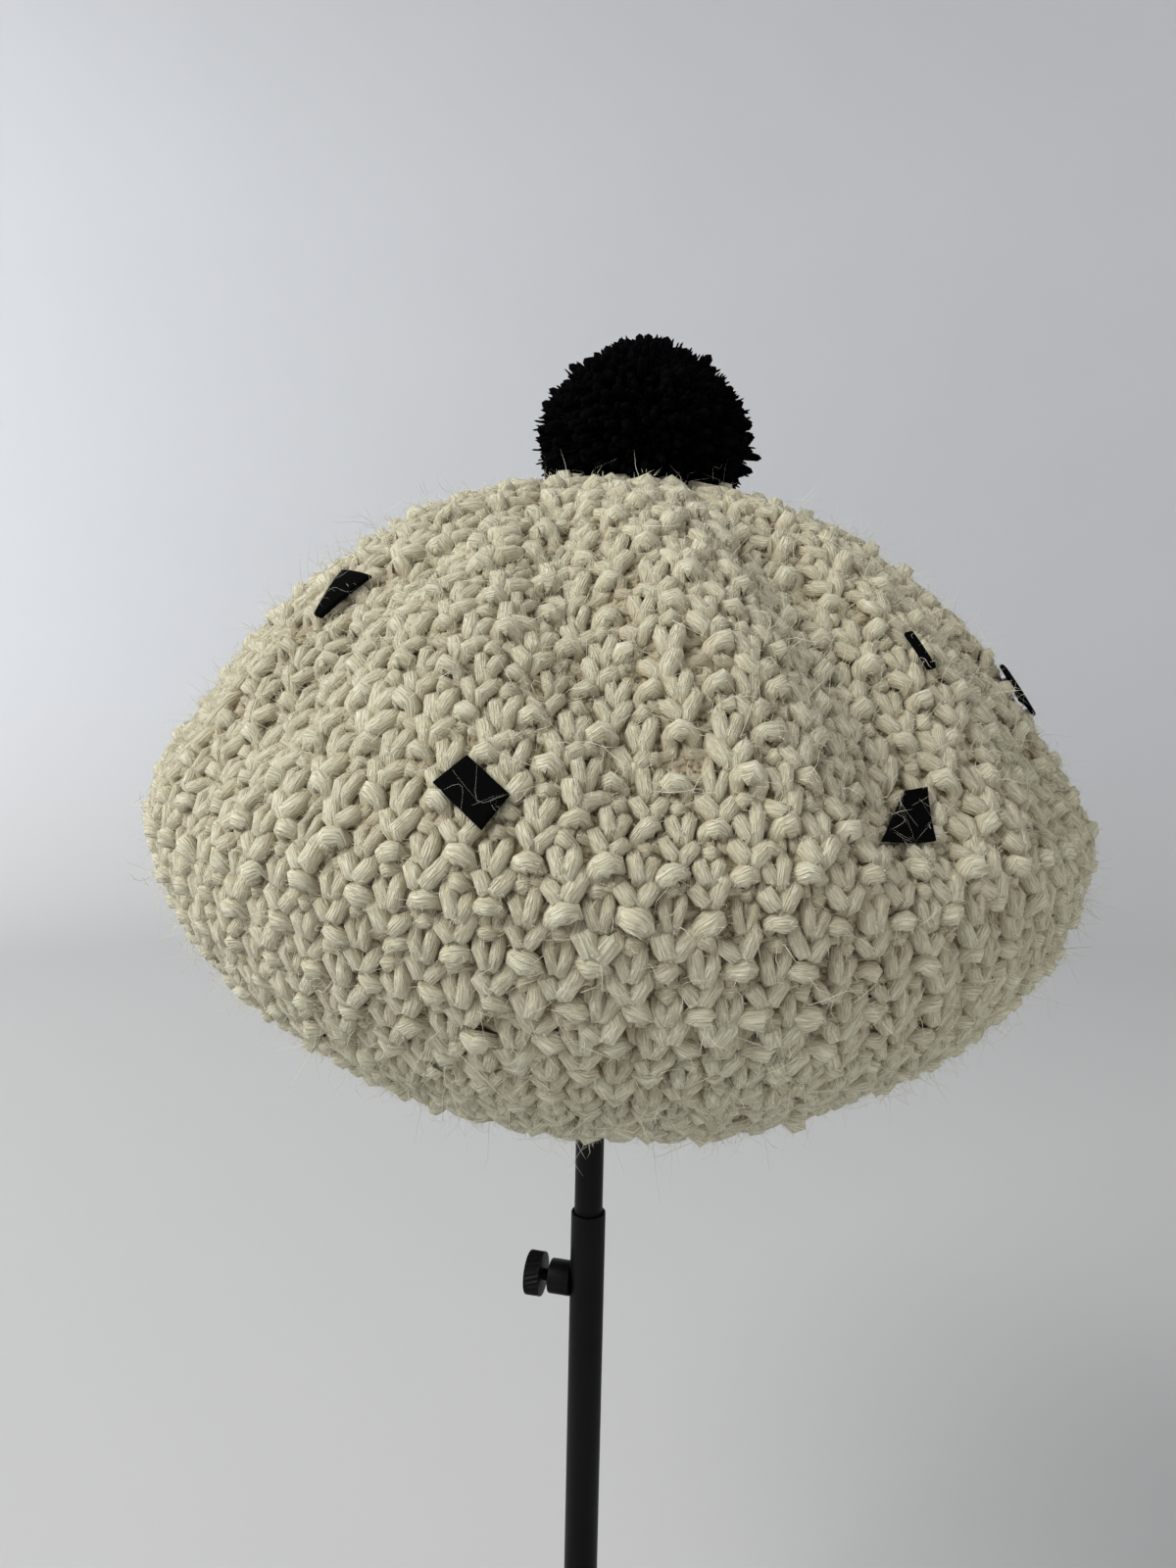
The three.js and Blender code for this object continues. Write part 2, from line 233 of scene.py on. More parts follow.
# %% The crown's form
CROWN_SECTIONS = np.array([
    # radius, height from the widest ring
    (74, -80.5), (81, -77.5), (97.5, -65.5), (114.5, -51), (130, -28), (135.5, 0),
    (121.5, 25.5), (106, 47), (88, 64), (66, 79), (40, 88), (0, 96),
])
CROWN_FOLDS = np.array([
    # azimuth, depth, half width, twist
    (-70, 4.5, 8, 0), (-44, 4.5, 7, 40), (0, 7.0, 8, -65), (29, 10.0, 10, -15), (57, 6.0, 8, 0),
    (84, 3.5, 8, 0), (110, 4.5, 8, 10), (137, 3.5, 7, -30), (163, 5.0, 8, 20), (190, 3.5, 7, 10),
    (217, 5.0, 8, -20), (243, 3.5, 7, -10), (267, 4.5, 8, 0),
])
FOLD_START, FOLD_DEEP_FROM, FOLD_DEEP_TO, FOLD_END = 0.3, 0.48, 0.68, 0.92
WIDEST_RING_HEIGHT = 350
BERET_SIDE_SHIFT = 6
BERET_LEAN = math.radians(2.1)


def smooth_line(sections, per_span=60):
    """A line through the sections; each span leaves and arrives along its neighbours' chord."""
    padded = np.vstack([sections[:1], sections, sections[-1:]])
    p0, p1, p2, p3 = (padded[k:len(padded) - 3 + k, None] for k in range(4))
    t = np.linspace(0, 1, per_span, endpoint=False)[None, :, None]
    v1, v2 = (p2 - p0) / 2, (p3 - p1) / 2
    line = (2 * p1 - 2 * p2 + v1 + v2) * t**3 + (3 * p2 - 3 * p1 - 2 * v1 - v2) * t**2 + v1 * t + p1
    return np.vstack([line.reshape(-1, 2), sections[-1:]])


outline = smooth_line(CROWN_SECTIONS)
arc_marks = np.concatenate([[0], np.cumsum(np.linalg.norm(np.diff(outline, axis=0), axis=1))])
outline_length = arc_marks[-1]
outline_way = unit(np.gradient(outline, arc_marks, axis=0))
print("the outline is", round(outline_length, 1), "mm long")


def ease(value, start, end):
    """0 before start, 1 after end, and a smooth step between."""
    share = np.clip((value - start) / (end - start), 0, 1)
    return share * share * (3 - 2 * share)


def fold_depth(share, azimuth):
    """Sum of the grooves: each a bell across its azimuth, faded in and out along the outline."""
    middle, depth, width, twist = CROWN_FOLDS.T
    away = azimuth[..., None] - middle - twist * (share[..., None] - FOLD_DEEP_FROM)
    away = (away + 180) % 360 - 180
    grooves = (depth * np.exp(-((away / width) ** 2))).sum(-1)
    return grooves * ease(share, FOLD_START, FOLD_DEEP_FROM) * (1 - ease(share, FOLD_DEEP_TO, FOLD_END))


def on_stand(places):
    """Beret coordinates turned by the lean and set at the beret's place on the stand."""
    x, y, z = np.moveaxis(places, -1, 0)
    c, s = math.cos(BERET_LEAN), math.sin(BERET_LEAN)
    return np.stack([x * c + z * s, y, z * c - x * s], -1)


BERET_PLACE = np.array([BERET_SIDE_SHIFT, 0, WIDEST_RING_HEIGHT])


def crown_surface(arc, azimuth, depth):
    """Points at a depth under the outer face and its grooves, and the outward directions there."""
    r, z, way_r, way_z = (np.interp(arc, arc_marks, row) for row in (*outline.T, *outline_way.T))
    depth = depth + fold_depth(arc / outline_length, azimuth)
    sine, cosine = np.sin(np.radians(azimuth)), np.cos(np.radians(azimuth))
    r = r - way_z * depth
    z = z + way_r * depth
    points = np.stack([r * sine, -r * cosine, z], -1)
    outward = np.stack([way_z * sine, -way_z * cosine, -way_r], -1)
    return on_stand(points) + BERET_PLACE, on_stand(outward)


# %% [markdown]
# Five small felt patches are sewn on the crown. They press the knitting under them a little, so
# their places are written down before the yarn is worked. A patch is a quadrilateral laid flat: a
# width at its top and bottom, a length, a sideways shift of its bottom, and a turn on the crown.

# %% Where the patches lie
PATCHES = {
    # azimuth, share of the way up, top width, bottom width, length, shift, turn
    "upper_left": (-47.8, 0.609, 11.5, 2, 15.5, 0.5, 0),
    "centre": (-14.7, 0.437, 13.3, 15.3, 9, 0.5, -36),
    "right": (30.3, 0.443, 5.4, 17.2, 13.7, -10.5, 0),
    "fold": (40.4, 0.585, 1.8, 1.8, 11, 0.5, 0),
    "side": (72, 0.54, 11, 13, 13, 0, 20),
}


def patch_cover(arc, azimuth):
    """1 under the patches and 0 away from them: each place turned back to a patch's own shares."""
    cover = np.zeros(arc.shape)
    for middle, share, top, bottom, length, shift, turned in PATCHES.values():
        rise = arc - share * outline_length
        aside = np.radians((azimuth - middle + 180) % 360 - 180) * np.interp(arc, arc_marks, outline[:, 0])
        c, s = math.cos(math.radians(turned)), math.sin(math.radians(turned))
        up = 2 * (rise * c - aside * s) / length
        width = np.maximum(top - (top - bottom) * (0.5 - up / 2), 2)
        right = 2 * (aside * c + rise * s + shift * up / 2) / width
        cover = np.maximum(cover, 1 - ease(np.maximum(abs(right), abs(up)), 0.95, 1.3))
    return cover


print(len(PATCHES), "patches")

# %% [markdown]
# The beret is knitted in the round in a double moss stitch: two knit stitches stacked in a column,
# then two purl stitches, with the next column two rows out of step. A knit stitch shows its two legs
# as a V; a purl stitch keeps its legs at the back and shows the head of the loop below as a bar. A
# bump map can't give the plump, shadowed grains, so each row is a real strand of yarn. First the
# columns are counted: blocks of four rows keep their count, and between blocks some columns draw
# three together or split in three, as a knitter shapes a crown, so that knit stays above knit.

# %% Count the columns
ROW_RISE = 5.5
STITCH_WIDTH = 7.3
BLOCKS = 12
SETTLING = (0.55, 0.8, 0.95, 1.0)
FIRST_ROW = 5.6


def shaped_columns(before, count):
    """Azimuths where columns start, taken from those below: some join three, or split in three."""
    change = count - len(before)
    widths = np.diff(before, append=before[0] + 360)
    spans = np.ones(min(count, len(before)), int)
    sites = abs(change) // 2
    chosen = (np.arange(sites) + rng.random()) * len(spans) / max(sites, 1)
    spans[chosen.astype(int)] = 3
    firsts = np.cumsum(spans) - spans
    if change < 0:
        return before[firsts]
    owner = np.repeat(np.arange(len(spans)), spans)
    within = np.arange(count) - firsts[owner]
    return before[owner] + widths[owner] * within / spans[owner]


def columns_by_row():
    """Each row's column starts: locked to the block below at first, then evening out."""
    rows = []
    for block in range(BLOCKS):
        middle = FIRST_ROW + (block + 0.5) * len(SETTLING) * ROW_RISE
        count = 2 * round(np.pi * np.interp(middle, arc_marks, outline[:, 0]) / STITCH_WIDTH)
        steps = np.arange(count) * 360 / count
        taken = shaped_columns(rows[-1], count) if rows else steps
        even = steps + np.mean(taken - steps)
        rows.extend(taken + (even - taken) * settled for settled in SETTLING)
    return rows


row_columns = columns_by_row()
print(len(row_columns), "rows,", sum(map(len, row_columns)), "stitches, widest", max(map(len, row_columns)))

# %% [markdown]
# Now the yarn of one row. Over a stitch it climbs from a foot up a leg, over the head, and down the
# other leg, so its height goes as minus the cosine of the turn, and its place across the stitch sways
# with twice the turn, which leans the legs into a V. The four stitches of the pattern differ in how
# far they swing to the front at the foot, leg and head and in how wide and tall they are, as a table
# tells. Each stitch draws in to the middle of its column, which leaves a valley on either side. Every
# stitch is pulled a little differently, and soft yarn is thick and thin.

# %% The path of a row of stitches
STITCH_POINTS = 12
YARN_RADIUS = 1.95
SWING = 1.8
FACE_DEPTH = SWING + YARN_RADIUS
FOOT_REACH, FOOT_WEIGHT = 4.8, 0.8
FELT_PRESS = 1.4
VALLEY_DEPTH, DRAW_IN = 1.2, 0.88
STITCH_KINDS = np.array([
    # swing at the foot, leg, neck and head; weight at the leg, neck and head; sway, narrowing, reach
    (-0.6, 1.1, 0.2, -0.8, 1.15, 0.85, 0.8, 0.37, -0.06, 3.4),  # lower knit, a wide V
    (-0.6, 0.9, -0.3, 0.3, 1.0, 0.75, 1.1, 0.27, 0.06, 5.8),  # upper knit, a narrow V and a small bar
    (0.1, -1.0, 0.6, 1.15, 0.85, 1.0, 1.3, 0.25, 0.0, 5.6),  # lower purl, a plump bar
    (0.1, -1.0, -0.9, -0.8, 0.9, 0.9, 0.9, 0.20, 0.0, 4.8),  # upper purl, behind the next V
])
turn = TAU * np.arange(STITCH_POINTS) / STITCH_POINTS
turn = turn + 0.3 * np.sin(turn)
STOPS = np.array([0, 0.09, 0.25, 0.41, 0.5, 0.59, 0.75, 0.91, 1])


def over_stitch(seam, foot, leg, neck, head):
    """Values at the stops of a stitch, carried over all its points by smooth steps."""
    hats = np.array([np.interp(turn / TAU, STOPS, row) for row in np.eye(len(STOPS))])
    return np.hstack([seam, foot, leg, neck, head, neck, leg, foot, seam]) @ (hats * hats * (3 - 2 * hats))


def stitch_row(row, starts):
    """The middle line of a row's yarn, the outward direction, the yarn's radius and its depth."""
    count = len(starts)
    widths = np.diff(starts, append=starts[0] + 360)[:, None]
    kinds = STITCH_KINDS[(row + 2 * np.arange(count)) % len(STITCH_KINDS)]
    columns = kinds.T[:, :, None]
    sway, narrowing, reach = columns[7:]
    level = 0 * reach
    swing = over_stitch(level, *columns[:4])
    weight = over_stitch(level + FOOT_WEIGHT, level + FOOT_WEIGHT, *columns[4:7])
    loose = (1 - np.cos(turn)) / 2
    pull = rng.normal(0, 1, (6, count, 1))
    across = turn / TAU + sway * np.sin(2 * turn) + narrowing * np.sin(turn)
    radius_here = np.interp(FIRST_ROW + row * ROW_RISE, arc_marks, outline[:, 0])
    drawn_in = DRAW_IN * np.minimum(1, STITCH_WIDTH / (radius_here * np.radians(widths)))
    across = 0.5 + (across - 0.5) * (1 + (drawn_in - 1) * np.sqrt(loose))
    across = across + loose * (0.1 * pull[0] - 0.1 * pull[1] * np.cos(turn))
    rise = FOOT_REACH + (reach * (1 + 0.06 * pull[2]) - FOOT_REACH) * loose
    steep = np.cos(turn) * (1.35 - 0.35 * np.cos(turn) ** 2)
    lean = 0.4 * pull[3] * loose * (across - 0.5) * STITCH_WIDTH
    azimuth = starts[:, None] + widths * across
    arc = FIRST_ROW + row * ROW_RISE - rise * steep + loose * 0.5 * pull[4] + lean
    out = swing * SWING + loose * 0.45 * pull[5] - FELT_PRESS * patch_cover(arc, azimuth)
    out = out - VALLEY_DEPTH * np.sin(np.pi * (across - 0.5)) ** 4
    spin = rng.normal(0, 1, count + 2)
    spin = (spin[:-2] + spin[1:-1] + spin[2:]) / 3
    spin = spin[:, None] + (np.roll(spin, -1) - spin)[:, None] * turn / TAU
    radius = YARN_RADIUS * weight * (1 + 0.2 * spin)
    points, outward = crown_surface(arc, azimuth, FACE_DEPTH - out)
    return points.reshape(-1, 3), outward.reshape(-1, 3), radius.ravel(), FACE_DEPTH - out.ravel()


yarn_rows = [stitch_row(row, starts) for row, starts in enumerate(row_columns)]
print("yarn in the beret:", round(sum(
    np.linalg.norm(np.diff(path, axis=0), axis=1).sum() for path, *_ in yarn_rows) / 1000, 1), "m")

# %% [markdown]
# A five-sided section is carried along each path. Its flat way lies on the fabric, because soft yarn
# spreads where it is pressed. The strand also gets its map, in millimetres along it and one turn
# round it with the join at the back, and its depth in the fabric, which the finish turns into painted
# shade. All rows are shared out over four pieces: around the opening, the bowl, the slope and the top.

# %% Knit the rows
YARN_SIDES = 5
YARN_SPREAD, YARN_FLATTENING = 1.1, 1.04
ROWS_PER_PIECE = 12
# The depth in millimetres at which the finish's painted shade is full.
DEEP_AT = 4.0
section = TAU * np.arange(YARN_SIDES) / YARN_SIDES - np.pi / 2


def strand(path, outward, radius):
    """Sections square to a closed path: across the fabric by cosine, out of it by sine."""
    along = unit(np.roll(path, -1, 0) - np.roll(path, 1, 0))
    side = unit(np.cross(outward, along))
    out = np.cross(along, side)
    ring = (side[:, None] * np.cos(section)[:, None] * YARN_SPREAD
            + out[:, None] * np.sin(section)[:, None] * YARN_FLATTENING)
    return path[:, None] + radius[:, None, None] * ring


def strand_map(path, start):
    """For each corner of a strand's quads: millimetres along it, and the share of the way round."""
    steps = np.linalg.norm(np.roll(path, -1, 0) - path, axis=1)
    marks = start + np.concatenate([[0], np.cumsum(steps)])
    share = np.arange(YARN_SIDES + 1) / YARN_SIDES
    low, high = marks[:-1, None], marks[1:, None]
    near, far = share[None, :-1], share[None, 1:]
    corners = [(low, near), (low, far), (high, far), (high, near)]
    pairs = [np.stack(np.broadcast_arrays(u, v), -1) for u, v in corners]
    return np.stack(pairs, 2).reshape(-1, 2)


def knit_piece(name, first_row):
    """Joins the strands of some rows into one mesh, with the yarn's map and depth."""
    rows = yarn_rows[first_row:first_row + ROWS_PER_PIECE]
    rings = [strand(path, outward, radius) for path, outward, radius, _ in rows]
    deeper = [((row[0][:, None] - ring) * row[1][:, None]).sum(-1) for row, ring in zip(rows, rings)]
    points = [ring.reshape(-1, 3) for ring in rings]
    bases = np.cumsum([0] + [len(part) for part in points])
    faces = [ring_quads(len(rows[k][0]), YARN_SIDES, joined=True) + bases[k] for k in range(len(rows))]
    piece = add_piece(name, np.vstack(points), np.vstack(faces), yarn_finish, "cream_knit", ["crown"])
    places = np.vstack([strand_map(row[0], 977.0 * (first_row + k)) for k, row in enumerate(rows)])
    yarn_map = piece.data.uv_layers.new(name="yarn")
    yarn_map.uv.foreach_set("vector", places.astype(np.float32).ravel())
    depth = piece.data.attributes.new("depth", "FLOAT", "POINT")
    deep = np.concatenate([(row[3][:, None] + part).ravel() for row, part in zip(rows, deeper)]) / DEEP_AT
    depth.data.foreach_set("value", deep.clip(0, 1).astype(np.float32))
    return piece


for number, name in enumerate(["knit_opening", "knit_bowl", "knit_slope", "knit_top"]):
    knit_piece(name, number * ROWS_PER_PIECE)

# %% [markdown]
# Between the two faces of the knitting, felted fuzz fills the gaps, and no light comes through. That
# filling is a thin closed skin in the middle of the fabric, on the same form and grooves. Without it
# the strands would show daylight between them, which such thick wool never does. Its dark colour is
# painted shade for the shadow deep in the gaps.

# %% The felted middle of the fabric
MIDDLE_DEPTH = FACE_DEPTH + 0.1
MIDDLE_THICKNESS = 0.8
SKIN_SIDES, SKIN_RINGS = 108, 40


def wall_middle():
    """Rings up the outer side of the middle and down its inner side, joined at the opening and top."""
    rising = np.linspace(3, outline_length - 3, SKIN_RINGS)
    arc = np.concatenate([rising, rising[::-1]])[:, None]
    depth = np.repeat([MIDDLE_DEPTH, MIDDLE_DEPTH + MIDDLE_THICKNESS], SKIN_RINGS)[:, None]
    azimuth = np.arange(SKIN_SIDES)[None] * 360 / SKIN_SIDES
    points, _ = crown_surface(*np.broadcast_arrays(arc, azimuth, depth))
    return points.reshape(-1, 3)


def felted_wool_painted_shade():
    """Felted wool between the stitches, painted dark as shade, with fine noise."""
    wool = Finish("felted_wool_painted_shade", {"Roughness": 0.95, "Specular IOR Level": 0.1})
    cloud = wool.noise(wool.object_place(), 900.0, 4.0)
    # Painted shade: the skin shows only in the gaps, so it is painted dark as their shadow, mottled by
    # noise.
    colour = wool.blend(cloud * 3.0 - 1.0, (0.1, 0.08, 0.045, 1), PAINTED_SHADE_WOOL)
    wool.feed(wool.shader, {"Base Color": colour, "Normal": wool.bump(cloud, 0.8, 0.5)})
    return wool.material


middle_faces = ring_quads(2 * SKIN_RINGS, SKIN_SIDES, joined=True)
add_piece("knit_middle", wall_middle(), middle_faces, felted_wool_painted_shade(), "cream_knit", ["crown"])

# %% [markdown]
# Fuzz is what makes wool look soft: fine loose fibres stand off every stitch and glow along the
# outline. Blender's hair would not leave the scene as a mesh, so each fibre is a thin closed spindle:
# its middle line bends away from its root as the square of the way along, with a slow curl on top.
# The same spindle, thicker and with more sides, serves for the pompom's tufts. The shortest fuzz is
# too short to show a bend, so a straight three-sided spike is enough for it.

# %% Spindles and spikes
def square_to(along):
    """Two unit directions square to each given one and to each other."""
    helper = np.where(np.abs(along[..., 2:]) < 0.8, (0.0, 0.0, 1.0), (1.0, 0.0, 0.0))
    side = unit(np.cross(helper, along))
    return side, np.cross(along, side)


def spindles(roots, ways, bends, curls, lengths, radii, rings, sides):
    """Bent spindles: middle line root + length (q way + q q bend + sine curl), rings at q of a radius."""
    marks, swell = np.array(rings).T
    q = np.concatenate([[0], marks, [1]])[None, :, None]
    path = q * ways[:, None] + q * q * bends[:, None] + np.sin(1.6 * np.pi * q) * curls[:, None]
    line = roots[:, None] + lengths[:, None, None] * path
    side, up = square_to(unit(line[:, 2:] - line[:, :-2]))
    angle = (TAU * np.arange(sides) / sides)[:, None]
    ring = side[:, :, None] * np.cos(angle) + up[:, :, None] * np.sin(angle)
    ring = ring * (radii[:, None] * swell)[..., None, None]
    body = (line[:, 1:-1, None] + ring).reshape(len(roots), -1, 3)
    points = np.concatenate([body, line[:, :1], line[:, -1:]], 1)
    template = capped_faces(len(swell), sides)
    faces = template + (np.arange(len(roots)) * points.shape[1])[:, None, None]
    return points.reshape(-1, 3), faces.reshape(-1, 3)


def spikes(roots, ways, radii):
    """Closed spikes: three corners round each root and a point at the end of its way."""
    side, up = square_to(unit(ways))
    angle = (TAU * np.arange(3) / 3)[:, None]
    ring = (side[:, None] * np.cos(angle) + up[:, None] * np.sin(angle)) * radii[:, None, None]
    points = np.concatenate([roots[:, None] + ring, (roots + ways)[:, None]], 1)
    template = np.array([(0, 1, 3), (1, 2, 3), (2, 0, 3), (0, 2, 1)])
    faces = template + 4 * np.arange(len(roots))[:, None, None]
    return points.reshape(-1, 3), faces.reshape(-1, 3)


def any_way(count):
    """Directions spread evenly over a sphere."""
    return unit(rng.normal(size=(count, 3)))


# %% Grow the fuzz
FUZZ_RADIUS = 0.065
FUZZ_SIDES = 3
CURL_RINGS = [(0.25, 1.0), (0.5, 1.0), (0.75, 0.8)]
FUZZ_PER_PIECE, CURLS_PER_PIECE = 35000, 2500


def roots_on_yarn(rows, count):
    """Places on the front of the yarn, the way out of the yarn there and the way out of the fabric."""
    path, outward, radius, depth = (np.concatenate([row[k] for row in rows]) for k in range(4))
    pick = rng.choice(np.flatnonzero(depth < FACE_DEPTH + 0.4), count)
    off_yarn = unit(outward[pick] + 0.8 * any_way(count))
    return path[pick] + 0.95 * radius[pick, None] * off_yarn, off_yarn, outward[pick]


def short_fuzz(rows, count):
    """Spikes that stand off the yarn at all slants, most of them short."""
    roots, off_yarn, _ = roots_on_yarn(rows, count)
    lengths = 0.6 + 2.6 * rng.beta(1.2, 2.2, (count, 1))
    ways = lengths * unit(off_yarn + 0.8 * any_way(count))
    return spikes(roots, ways, FUZZ_RADIUS * rng.uniform(0.9, 1.5, count))


def long_curls(rows, count):
    """Bent fibres: most lie low over their neighbours, some stand off and are shorter."""
    roots, _, out = roots_on_yarn(rows, count)
    flat = any_way(count)
    flat = unit(flat - out * (flat * out).sum(-1, keepdims=True))
    stand = rng.beta(0.6, 0.9, (count, 1))
    ways = unit(flat * (1 - stand) + out * (0.3 + stand))
    bends = 0.8 * any_way(count) - 0.25 * out * (1 - stand)
    curls = 0.25 * any_way(count)
    lengths = 4.0 + 11.0 * (1 - 0.7 * stand[:, 0]) * rng.beta(1.3, 2.0, count)
    radii = FUZZ_RADIUS * rng.uniform(0.6, 1.2, count)
    return spindles(roots, ways, bends, curls, lengths, radii, CURL_RINGS, FUZZ_SIDES)


for name, rows in {"bowl": yarn_rows[:22], "slope": yarn_rows[22:44]}.items():
    fuzz_mesh = short_fuzz(rows, FUZZ_PER_PIECE)
    add_piece("fuzz_" + name, *fuzz_mesh, fuzz_finish, "cream_knit", ["crown"])
    curl_mesh = long_curls(rows[:18], CURLS_PER_PIECE)
    add_piece("curls_" + name, *curl_mesh, fuzz_finish, "cream_knit", ["crown"])

# %% [markdown]
# The pompom is black wool yarn, tied in a bundle and cut, so that it is all blunt, brushy yarn ends on
# a low dome. Particle hair or a bumpy ball would lose the notched outline, so over a thousand tufts
# point out of a middle, each a stout spindle, and a brush of finer fibres fills in between them.

# %% The pompom's finish and tufts
POMPOM_MIDDLE = on_stand(np.array([1.5, 0, 105.0])) + BERET_PLACE
POMPOM_RADIUS, POMPOM_ABOVE, POMPOM_BELOW = 31.5, 28.0, 24.0
BULGE_ABOVE, BULGE_BELOW = 1.62, 2.6
TUFTS, BRUSH = 1300, 2000
CORE_RINGS, CORE_SIDES, CORE_SHARE = 11, 24, 0.78
GOLDEN_TURN = np.pi * (3 - math.sqrt(5))


def black_wool():
    """Black wool: nearly no light comes back, apart from a faint gloss; its tone drifts a little and is
    slightly cool.
    """
    fixed = {"Roughness": 1.0, "Specular IOR Level": 0.03}
    wool = Finish("black_wool", fixed)
    cloud = wool.noise(wool.object_place(), 700.0)
    colour = wool.blend(cloud, (0.0006, 0.0006, 0.0008, 1), (0.003, 0.003, 0.004, 1))
    wool.feed(wool.shader, {"Base Color": colour, "Normal": wool.bump(cloud, 0.7, 0.4)})
    return wool.material


def dome_ways(count):
    """Directions spread by the golden turn, from straight up to a little below level."""
    up = 1 - 1.55 * (np.arange(count) + 0.5) / count
    flat = np.sqrt(1 - up * up)
    angle = GOLDEN_TURN * np.arange(count)
    return unit(np.stack([flat * np.cos(angle), flat * np.sin(angle), up], -1) + 0.07 * any_way(count))


def dome_reach(ways):
    """How far the dome reaches from its middle: wide to the sides, a little pointed above."""
    upper = ways[:, 2] > 0
    height = np.where(upper, POMPOM_ABOVE, POMPOM_BELOW)
    bulge = np.where(upper, BULGE_ABOVE, BULGE_BELOW)
    flat = np.hypot(ways[:, 0], ways[:, 1]) / POMPOM_RADIUS
    return (flat**bulge + (abs(ways[:, 2]) / height) ** bulge) ** (-1 / bulge)


def tufts(count, start, end, radius, rings, sides, spread):
    """Spindles from one share of the dome's reach to another."""
    ways = dome_ways(count)
    reach = dome_reach(ways)
    from_share = start * np.ones(count)
    to_share = rng.normal(end, spread, count).clip(end - 2 * spread, end + 2 * spread)
    ways_on_stand = on_stand(ways)
    roots = POMPOM_MIDDLE + ways_on_stand * (reach * from_share)[:, None]
    lengths = reach * (to_share - from_share)
    bends, curls = 0.12 * any_way(count), 0.05 * any_way(count)
    radii = radius * rng.uniform(0.8, 1.2, count)
    return spindles(roots, ways_on_stand, bends, curls, lengths, radii, rings, sides)


def pompom_core():
    """A closed dome inside the tufts: rings from pole to pole at three quarters of the reach."""
    lift = np.linspace(-np.pi / 2, np.pi / 2, CORE_RINGS + 2)[:, None]
    angle = TAU * np.arange(CORE_SIDES) / CORE_SIDES
    parts = np.broadcast_arrays(np.cos(lift) * np.cos(angle), np.cos(lift) * np.sin(angle), np.sin(lift))
    ways = np.stack(parts, -1)
    ways = np.vstack([ways[1:-1].reshape(-1, 3), ways[0, :1], ways[-1, :1]])
    return POMPOM_MIDDLE + on_stand(ways * CORE_SHARE * dome_reach(ways)[:, None])


pompom_finish = black_wool()
core_faces = capped_faces(CORE_RINGS, CORE_SIDES)
add_piece("pompom_core", pompom_core(), core_faces, pompom_finish, "black_wool", ["pompom"])
tuft_mesh = tufts(TUFTS, 0.45, 0.95, 1.7, [(0.3, 0.6), (0.78, 1.0), (0.95, 0.65)], 5, 0.04)
add_piece("pompom_tufts", *tuft_mesh, pompom_finish, "black_wool", ["pompom"])
brush_mesh = tufts(BRUSH, 0.8, 0.985, 0.4, [(0.4, 1.0), (0.9, 0.8)], 3, 0.03)
add_piece("pompom_brush", *brush_mesh, pompom_finish, "black_wool", ["pompom"])

# %% [markdown]
# The patches are small quadrilaterals of thin black felt, cut with crisp corners. Each is a slab whose
# rings run from the middle of its underside, round its edge, to the middle of its top; the ring is a
# square, worked out from a circle, and stretched to the patch's own four sides on the crown.

# %% Felt patches
PATCH_FLOOR, PATCH_THICKNESS, PATCH_SIDES = -0.9, 1.2, 64
PATCH_RINGS = np.array([
    # share of the way out, share of the thickness
    (0.5, 0), (0.94, 0), (1.0, 0.2), (1.0, 0.8), (0.96, 1.0), (0.8, 1.0), (0.4, 1.0),
])


def patch_place(patch, right, up, height):
    """Points of a patch from shares right and up, each from -1 to 1, at a height on the crown."""
    azimuth, share, top, bottom, length, shift, turned = patch
    down = 0.5 - up / 2
    across = (top + (bottom - top) * down) * right / 2 + shift * (down - 0.5)
    rise = length * up / 2
    c, s = math.cos(math.radians(turned)), math.sin(math.radians(turned))
    arc = share * outline_length + rise * c + across * s
    sideways = np.degrees((across * c - rise * s) / np.interp(arc, arc_marks, outline[:, 0]))
    return crown_surface(arc, azimuth + sideways, -height)[0]


def felt_patch(patch):
    """A closed slab: square rings from the underside's middle to the top's middle."""
    angle = TAU * np.arange(PATCH_SIDES) / PATCH_SIDES
    square = np.stack([np.cos(angle), np.sin(angle)]) / np.maximum(abs(np.cos(angle)), abs(np.sin(angle)))
    out, thick = PATCH_RINGS[:, :1], PATCH_RINGS[:, 1:]
    height = PATCH_FLOOR + thick * PATCH_THICKNESS + 0 * square[0]
    rings = patch_place(patch, square[0] * out, square[1] * out, height).reshape(-1, 3)
    zero = np.zeros(2)
    poles = patch_place(patch, zero, zero, PATCH_FLOOR + np.array([0, PATCH_THICKNESS]))
    return np.vstack([rings, poles])


def black_felt():
    """Felt: matted fibres as fine noise in tone, roughness and height."""
    felt = Finish("black_felt", {"Specular IOR Level": 0.03})
    mat = felt.noise(felt.object_place(), 1600.0, 5.0)
    colour = felt.blend(mat, (0.0008, 0.0008, 0.0009, 1), (0.003, 0.003, 0.0034, 1))
    parts = {"Base Color": colour, "Roughness": 0.85 + mat * 0.12, "Normal": felt.bump(mat, 0.6, 0.2)}
    felt.feed(felt.shader, parts)
    return felt.material


felt_finish = black_felt()
patch_faces = capped_faces(len(PATCH_RINGS), PATCH_SIDES)
for name, patch in PATCHES.items():
    add_piece("felt_" + name, felt_patch(patch), patch_faces, felt_finish, "black_felt", ["patch_" + name])

# %% [markdown]
# Stray cream fibres lie across the felt and curl up round the foot of the pompom, and they are what
# ties black and cream together. They are spindles too, laid over each patch from edge to edge and
# set in a ring where the pompom meets the crown.

# %% Stray fibres
PATCH_PER_STRAY = 16
POMPOM_STRAYS = 40
STRAY_RINGS = [(mark, 1.2 - mark) for mark in np.arange(1, 8) / 8]


